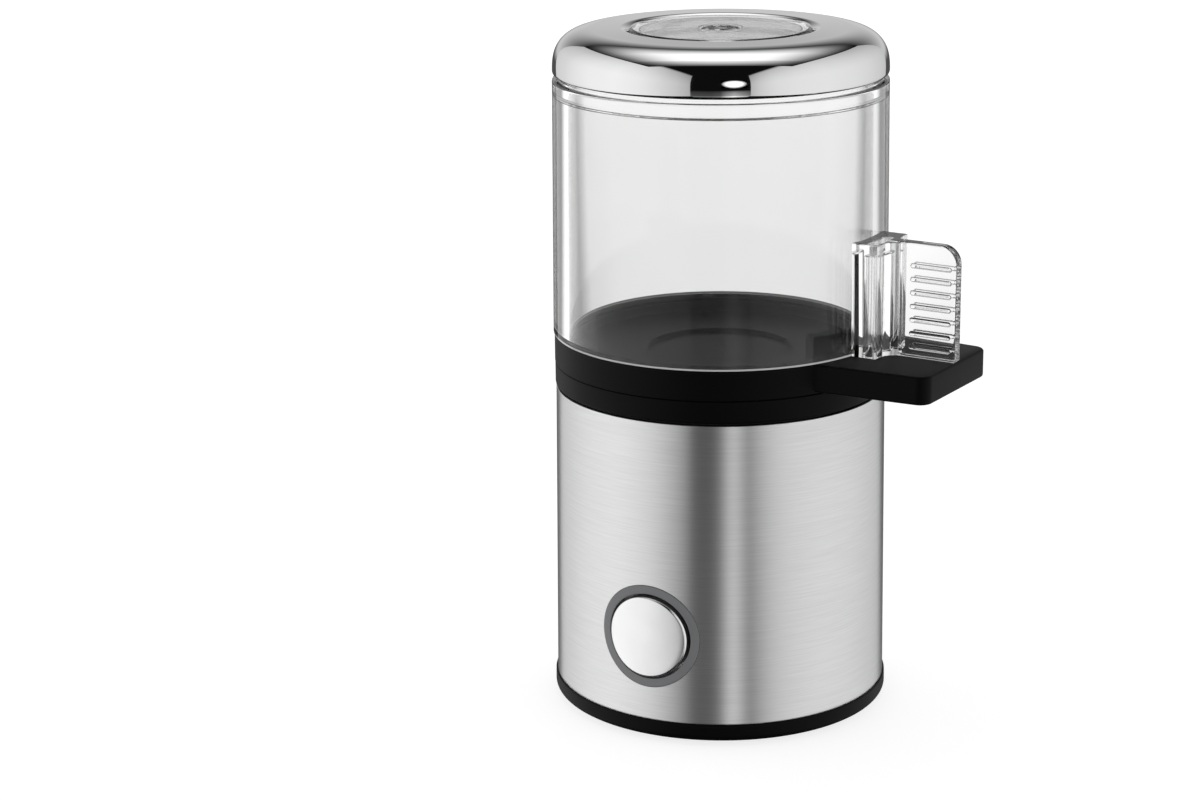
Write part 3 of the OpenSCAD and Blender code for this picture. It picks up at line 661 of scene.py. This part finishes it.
def make_grip(foot_z):
    """The hollow block against the tube and the wing with its finger bars, in one solid."""
    block_in, block_out, block_w = 30.8, 37.5, 12.6
    block_top = foot_z + 22.0
    blend = 3.0
    wing_t = 2.5
    wing_in = block_out - 0.5
    wing_out = 51.4
    wing_top = foot_z + 22.2
    wing_corner = 3.6
    slot_x, slot_half, slot_r = 35.0, 3.0, 1.2
    roof_t = 2.4
    grip = slab("grip", grip_outline(block_w, block_in, block_out, wing_t, blend), foot_z,
                block_top, 0.25, 3)
    wing_plan = rounded([(wing_in, foot_z, 0), (wing_out, foot_z, 0.3),
                         (wing_out, wing_top, wing_corner), (wing_in, wing_top, 0)], 10)
    combine(grip, slab("wing", wing_plan, -wing_t / 2, wing_t / 2, 0.3, 4, True), "UNION")
    combine(grip, finger_bars(wing_t, foot_z), "UNION")
    slot_plan = arc((slot_x, slot_half), slot_r, 0, 180, 12)
    slot_plan += arc((slot_x, -slot_half), slot_r, 180, 360, 12)
    combine(grip, slab("slot", slot_plan, foot_z - 2, block_top - roof_t, 0.4, 3), "DIFFERENCE")
    grip.data.transform(Matrix.Rotation(math.radians(GRIP_TURN), 4, "Z"))
    return grip


def make_hood():
    """The clear tube, and the grip cut to its wall with a hair's gap between the two."""
    low, high = low_high("hood_tube")
    foot_r, top_r, wall = 32.9, 32.52, 3.0
    foot_z = low.z + 0.9
    lip_r = 30.55
    slope = (top_r - foot_r) / (high.z - foot_z)
    outline = rounded([(foot_r - wall, low.z, 0.15), (lip_r, low.z, 0.2), (lip_r, foot_z, 0.1),
                       (foot_r, foot_z, 0.25), (top_r, high.z, 0.1),
                       (top_r - wall, high.z, 0.1)], 4)
    piece = lathe("hood_tube_body", outline)
    start = foot_r - slope * foot_z
    true_round(piece, [(start, slope, 1), (start - wall, slope, -1)])
    install(piece, "hood", "clear_plastic", "hood_tube")

    grip = make_grip(foot_z)
    gap = 0.03
    core_r = 20.0
    joint = lathe("joint", [(core_r, low.z - 1), (foot_r + gap - slope, low.z - 1),
                            (top_r + gap + slope, high.z + 1), (core_r, high.z + 1)])
    combine(grip, joint, "DIFFERENCE")
    grip.name = "hood_grip_body"
    install(grip, "hood", "clear_plastic", "hood_tube", look="clear_detail")


def make_hood_cap():
    """The clear rim, roof and raised centre with the steam hole, turned in one piece."""
    low, high = low_high("hood_cap")
    outer_r = high.x
    rim_in = outer_r - 3.0
    rim_top = low.z + 2.9
    neck_r, neck_chamfer = 31.4, (0.6, 0.8)
    neck_top = rim_top + 2.9
    roof_t = 1.8
    hat_r, hat_wall, hat_top_t, hole_r = 17.5, 1.8, 2.2, 4.1
    outline = rounded([(rim_in, low.z, 0.1), (outer_r, low.z, 0.1), (outer_r, rim_top, 0.5),
                       (neck_r, rim_top, 0), (neck_r, neck_top - neck_chamfer[1], 0),
                       (neck_r - neck_chamfer[0], neck_top, 0), (hat_r, neck_top, 0.3),
                       (hat_r, high.z, 0.7), (hole_r, high.z, 0.25),
                       (hole_r, high.z - hat_top_t, 0.25),
                       (hat_r - hat_wall, high.z - hat_top_t, 0.3),
                       (hat_r - hat_wall, neck_top - roof_t, 0.3),
                       (rim_in, neck_top - roof_t, 0.3)], 5)
    piece = lathe("hood_cap_body", outline)
    install(piece, "hood", "clear_plastic", "hood_cap", look="clear_detail")


def make_bright_ring():
    """The plated shell over the cap: skirt, full shoulder and a lip rolled into the opening."""
    low, high = low_high("bright_ring")
    skirt_r, wall = 32.48, 1.0
    skirt_edge = 0.8
    open_r, lip_r = 17.85, 1.5
    lip_foot = high.z - 3.2
    shoulder_r, shoulder_z, power = 23.95, high.z - 8.0, 2.58
    crown = high.z - 0.15
    steps = 40

    def shoulder(inward):
        """The shoulder's superellipse, from the skirt up to the crown."""
        points = []
        for k in range(steps + 1):
            t = math.pi / 2 * (1 - k / steps)
            points.append(Vector((
                shoulder_r + (skirt_r - inward - shoulder_r) * math.sin(t) ** (2 / power),
                shoulder_z + (crown - inward - shoulder_z) * math.cos(t) ** (2 / power))))
        return points

    lip = (open_r + lip_r, high.z - lip_r)
    outline = arc((skirt_r - skirt_edge, low.z + skirt_edge), skirt_edge, -90, -4, 9) + shoulder(0)
    outline += arc(lip, lip_r, 90, 180, 12)
    outline += [Vector((open_r, lip_foot)), Vector((open_r + wall, lip_foot))]
    outline += arc(lip, lip_r - wall, 180, 90, 6)
    outline += shoulder(wall)[::-1]
    outline.append(Vector((skirt_r - wall, low.z + 0.2)))
    piece = lathe("bright_ring_shell", outline)
    install(piece, "hood", "bright_chrome", "bright_ring")


# ---- CAD nodes that stay ----

def smoothing():
    """A node group that welds a CAD mesh and smooths it except across sharp edges."""
    group = bpy.data.node_groups.new("smooth_by_angle", "GeometryNodeTree")
    group.interface.new_socket("Geometry", in_out="INPUT", socket_type="NodeSocketGeometry")
    group.interface.new_socket("Geometry", in_out="OUTPUT", socket_type="NodeSocketGeometry")
    nodes, links = group.nodes, group.links
    start = nodes.new("NodeGroupInput")
    end = nodes.new("NodeGroupOutput")
    weld = nodes.new("GeometryNodeMergeByDistance")
    weld.inputs["Distance"].default_value = WELD_DISTANCE * MM
    faces = nodes.new("GeometryNodeSetShadeSmooth")
    faces.domain = "FACE"
    edges = nodes.new("GeometryNodeSetShadeSmooth")
    edges.domain = "EDGE"
    angle = nodes.new("GeometryNodeInputMeshEdgeAngle")
    soft = nodes.new("FunctionNodeCompare")
    soft.operation = "LESS_THAN"
    soft.inputs["B"].default_value = math.radians(SHARP_ANGLE)
    links.new(start.outputs[0], weld.inputs[0])
    links.new(weld.outputs[0], faces.inputs[0])
    links.new(faces.outputs[0], edges.inputs[0])
    links.new(angle.outputs["Unsigned Angle"], soft.inputs["A"])
    links.new(soft.outputs[0], edges.inputs["Shade Smooth"])
    links.new(edges.outputs[0], end.inputs[0])
    return group


def dress_cad_nodes():
    """The CAD nodes that stay get a smoothed surface and their slot's material."""
    group = smoothing()
    slots = {part["node"]: part["material_slot"] for part in frame["record"]["subparts"]}
    for name, node in frame["nodes"].items():
        if node.hide_render:
            continue
        node.modifiers.new("smooth", "NODES").node_group = group
        for material_slot in node.material_slots:
            material_slot.material = materials[slots[name]]


# ---- studio ----

def studio_point(right, away, up):
    """A point in metres, given by where it lies as the camera sees the object."""
    return Matrix.Rotation(math.radians(CAMERA_AZIMUTH), 3, "Z") @ Vector((right, away, up))


def make_camera():
    """The camera, set by where it stands from the object and by its yaw, pitch and roll."""
    yaw, pitch, roll = (math.radians(a) for a in (CAMERA_YAW, CAMERA_PITCH, CAMERA_ROLL))
    ahead = Vector((math.sin(yaw) * math.cos(pitch), math.cos(yaw) * math.cos(pitch),
                    -math.sin(pitch)))
    right = Vector((math.cos(yaw), -math.sin(yaw), 0))
    up = right.cross(ahead)
    rolled_right = right * math.cos(roll) + up * math.sin(roll)
    rolled_up = up * math.cos(roll) - right * math.sin(roll)
    turn = Matrix.Rotation(math.radians(CAMERA_AZIMUTH), 3, "Z")
    basis = Matrix((turn @ rolled_right, turn @ rolled_up, turn @ -ahead)).transposed()
    data = bpy.data.cameras.new("camera")
    data.lens = CAMERA_LENS
    data.sensor_width = CAMERA_SENSOR
    camera = bpy.data.objects.new("camera", data)
    place = studio_point(0, -CAMERA_REACH * MM, CAMERA_HEIGHT * MM)
    camera.matrix_world = Matrix.Translation(place) @ basis.to_4x4()
    bpy.context.scene.collection.objects.link(camera)
    bpy.context.scene.camera = camera


def fade(s, value, stops):
    """A strength that follows (place, share) stops along a value from 0 to 1."""
    ramp = s.add("ShaderNodeValToRGB", {0: value})
    points = ramp.color_ramp.elements
    while len(points) < len(stops):
        points.new(0.5)
    for point, (where, share) in zip(points, stops):
        point.position = where
        point.color = (share, share, share, 1)
    return ramp.outputs[0]


def sheet(name, corners, edges):
    """A four-cornered mesh, with its corners (right, away, up) in metres and their UVs."""
    mesh = bpy.data.meshes.new(name)
    mesh.from_pydata([studio_point(*corner) for corner in corners], [], [(0, 1, 2, 3)])
    uv = mesh.uv_layers.new(name="edges")
    for loop, value in zip(uv.data, edges):
        loop.uv = value
    return mesh


def light_up(name, mesh, s, share, strength):
    """Put up a sheet that glows by a varying share of a strength. The camera doesn't see it."""
    level = s.add("ShaderNodeMath", {0: share, 1: strength}, operation="MULTIPLY").outputs[0]
    s.show(s.add("ShaderNodeEmission", {"Strength": level}).outputs[0])
    mesh.materials.append(s.material)
    light = bpy.data.objects.new(name, mesh)
    bpy.context.scene.collection.objects.link(light)
    light.visible_camera = False
    light.visible_shadow = False


def card(name, corner, across, up, across_fade, up_fade, strength=1.0):
    """A soft light: a glowing sheet from a corner (right, away, up) along two edges, in metres,
    which fades along both of them."""
    corner, across, up = Vector(corner), Vector(across), Vector(up)
    mesh = sheet(name, (corner, corner + across, corner + across + up, corner + up),
                 ((0, 0), (1, 0), (1, 1), (0, 1)))
    s = Shader(name)
    edges = s.add("ShaderNodeUVMap", uv_map="edges").outputs[0]
    split = s.add("ShaderNodeSeparateXYZ", {0: edges})
    share = s.add("ShaderNodeMath", {0: fade(s, split.outputs[0], across_fade),
                                     1: fade(s, split.outputs[1], up_fade)},
                  operation="MULTIPLY").outputs[0]
    light_up(name, mesh, s, share, strength)


def lamp(name, azimuth, elevation, distance, radius, strength):
    """A round soft light that faces the object, seen from it at an angle off the camera's side."""
    turn, rise = math.radians(azimuth), math.radians(elevation)
    toward = Vector((math.sin(turn) * math.cos(rise), -math.cos(turn) * math.cos(rise),
                     math.sin(rise)))
    side = toward.cross(Vector((0, 0, 1))).normalized()
    up = side.cross(toward)
    corner = toward * distance - (side + up) * radius
    mesh = sheet(name, (corner, corner + side * 2 * radius, corner + (side + up) * 2 * radius,
                        corner + up * 2 * radius), ((-1, -1), (1, -1), (1, 1), (-1, 1)))
    s = Shader(name)
    edges = s.add("ShaderNodeUVMap", uv_map="edges").outputs[0]
    reach = s.add("ShaderNodeVectorMath", {0: edges}, operation="LENGTH").outputs["Value"]
    light_up(name, mesh, s, fade(s, reach, LAMP_FADE), strength)


def make_floor():
    """A floor that the camera sees white, darker only under and close to the object. Through the
    clear parts it looks lit, except behind the object, where it has a dark wedge on each side of
    straight behind. That draws the dark lines along the hood's edges. It isn't in reflections."""
    half = FLOOR_HALF
    mesh = bpy.data.meshes.new("floor")
    mesh.from_pydata([(-half, -half, 0), (half, -half, 0), (half, half, 0), (-half, half, 0)], [],
                     [(0, 1, 2, 3)])
    floor = bpy.data.objects.new("floor", mesh)
    bpy.context.scene.collection.objects.link(floor)
    s = Shader("floor")
    reach = s.add("ShaderNodeVectorMath", {0: s.place}, operation="LENGTH").outputs["Value"]
    right = s.add("ShaderNodeVectorMath", {0: s.place, 1: studio_point(1, 0, 0)},
                  operation="DOT_PRODUCT").outputs["Value"]
    turn = s.add("ShaderNodeMath", {0: right, 1: reach}, operation="DIVIDE").outputs[0]
    level = fade(s, s.ranged(turn, 0.0, 1.0, -1.0, 1.0), FLOOR_LEVELS)
    away = s.add("ShaderNodeVectorMath", {0: s.place, 1: studio_point(0, 1, 0)},
                 operation="DOT_PRODUCT").outputs["Value"]
    level = s.ranged(away, FLOOR_PLAIN, level, 0.0, 0.05)
    seen = s.ranged(s.add("ShaderNodeLightPath").outputs["Is Camera Ray"], level, 1.0)
    glow = s.ranged(reach, FLOOR_NEAR, FLOOR_FAR, 0.1, 0.7)
    s.surface(Base_Color=s.tones(s.noise(3, 2), (0.4, 0.4, 0.4), (0.42, 0.42, 0.42)),
              Roughness=0.9, Specular_IOR_Level=0.0, Emission_Color=(1, 1, 1, 1),
              Emission_Strength=s.add("ShaderNodeMath", {0: glow, 1: seen},
                                      operation="MULTIPLY").outputs[0])
    mesh.materials.append(s.material)
    floor.visible_glossy = False
    floor.visible_shadow = False


def make_world():
    """White to the camera, and an almost black room to everything else."""
    world = bpy.data.worlds.new("studio")
    world.use_nodes = True
    tree = world.node_tree
    tree.nodes.clear()
    path = tree.nodes.new("ShaderNodeLightPath")
    pick = tree.nodes.new("ShaderNodeMapRange")
    pick.inputs["To Min"].default_value = ROOM_GLOW
    pick.inputs["To Max"].default_value = 1.0
    glow = tree.nodes.new("ShaderNodeBackground")
    output = tree.nodes.new("ShaderNodeOutputWorld")
    tree.links.new(path.outputs["Is Camera Ray"], pick.inputs["Value"])
    tree.links.new(pick.outputs[0], glow.inputs["Strength"])
    tree.links.new(glow.outputs[0], output.inputs[0])
    bpy.context.scene.world = world


def make_studio():
    """A black tent with a tall soft light on each side, one overhead, a glow behind, a faint one
    low in front, and a small round lamp beside the camera."""
    make_floor()
    make_world()
    side = STUDIO_SIDE
    front, back, top, bottom = -2.75 * side, 1.73 * side, 1.73 * side, -1.0 * side
    for name, x, depth in (("left_light", -side, LEFT_LEVELS), ("right_light", side, RIGHT_LEVELS)):
        card(name, (x, front, bottom), (0, back - front, 0), (0, 0, top - bottom), depth, SIDE_RISE)
    high = STUDIO_TOP
    card("top_light", (-0.8 * high, -0.42 * high, high), (0, 1.92 * high, 0), (1.6 * high, 0, 0),
         TOP_DEPTH, TOP_WIDTH, strength=1.4)
    card("back_light", (-side, back, bottom), (2 * side, 0, 0), (0, 0, 2.25 * side), EVEN,
         BACK_RISE)
    ahead = 1.2 * side
    card("low_light", (-0.36 * ahead, -ahead, -0.8 * ahead), (0.72 * ahead, 0, 0),
         (0, 0, 0.8 * ahead), LOW_WIDTH, LOW_RISE)
    lamp("front_lamp", azimuth=9, elevation=12, distance=1.25 * side, radius=0.22, strength=1.6)


make_camera()
make_sleeve()
make_light_ring()
make_button()
make_carrier()
make_hood()
make_hood_cap()
make_bright_ring()
dress_cad_nodes()
make_studio()

scene = bpy.context.scene
scene.view_settings.view_transform = "Standard"
scene.cycles.max_bounces = LIGHT_BOUNCES
scene.cycles.transmission_bounces = LIGHT_BOUNCES
scene.cycles.transparent_max_bounces = LIGHT_BOUNCES
